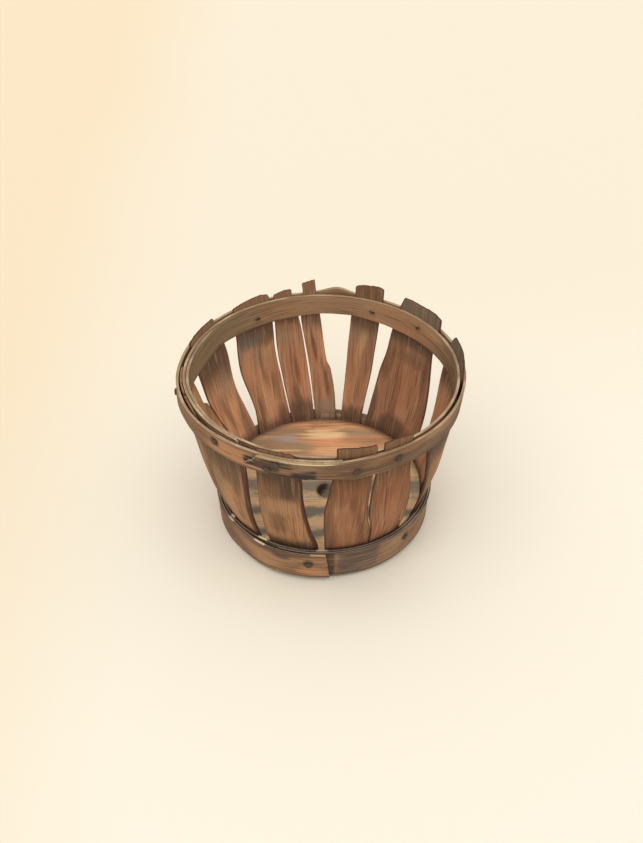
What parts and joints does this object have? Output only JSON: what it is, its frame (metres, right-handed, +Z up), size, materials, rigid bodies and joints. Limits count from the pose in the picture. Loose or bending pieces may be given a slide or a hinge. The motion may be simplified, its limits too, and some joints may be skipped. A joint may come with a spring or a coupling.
{
  "type": "splint berry basket",
  "caption": "Worn splint berry basket: thin uneven staves pinched between two bent hoops at the rim and nailed round a wooden bottom inside two bent bands.",
  "frame": {"origin": "on the ground under the middle of the basket's bounding box", "axes": "+Z up out of the basket's mouth; -Y towards the front, where the outer hoop's lap and the outer band's seam are"},
  "size_m": [0.1599, 0.1594, 0.1104],
  "materials": {
    "board": "dry bare board, tan-orange with grey streaks",
    "inner_band": "dark weathered bent wood",
    "outer_band": "weathered bent wood with worn pale edges",
    "hoop": "weathered grey-tan bent wood with worn pale edges",
    "stave": "dry reddish-brown splint with grey-brown stains",
    "nail": "dark dull iron with a little rust"
  },
  "bodies": {
    "root": {"bottom_board": "board", "bottom_inner_band": "inner_band", "bottom_outer_band": "outer_band", "top_inner_hoop": "hoop", "top_outer_hoop": "hoop", "stave_01": "stave", "stave_02": "stave", "stave_03": "stave", "stave_04": "stave", "stave_05": "stave", "stave_06": "stave", "stave_07": "stave", "stave_08": "stave", "stave_09": "stave", "stave_10": "stave", "stave_11": "stave", "stave_12": "stave", "stave_13": "stave", "stave_14": "stave", "rim_nail_01": "nail", "rim_nail_02": "nail", "rim_nail_03": "nail", "rim_nail_04": "nail", "rim_nail_05": "nail", "rim_nail_06": "nail", "rim_nail_07": "nail", "rim_nail_08": "nail", "rim_nail_09": "nail", "rim_nail_10": "nail", "rim_nail_11": "nail", "base_nail_01": "nail", "base_nail_02": "nail", "base_nail_03": "nail", "base_nail_04": "nail", "base_nail_05": "nail", "base_nail_06": "nail"}
  },
  "joints": []
}
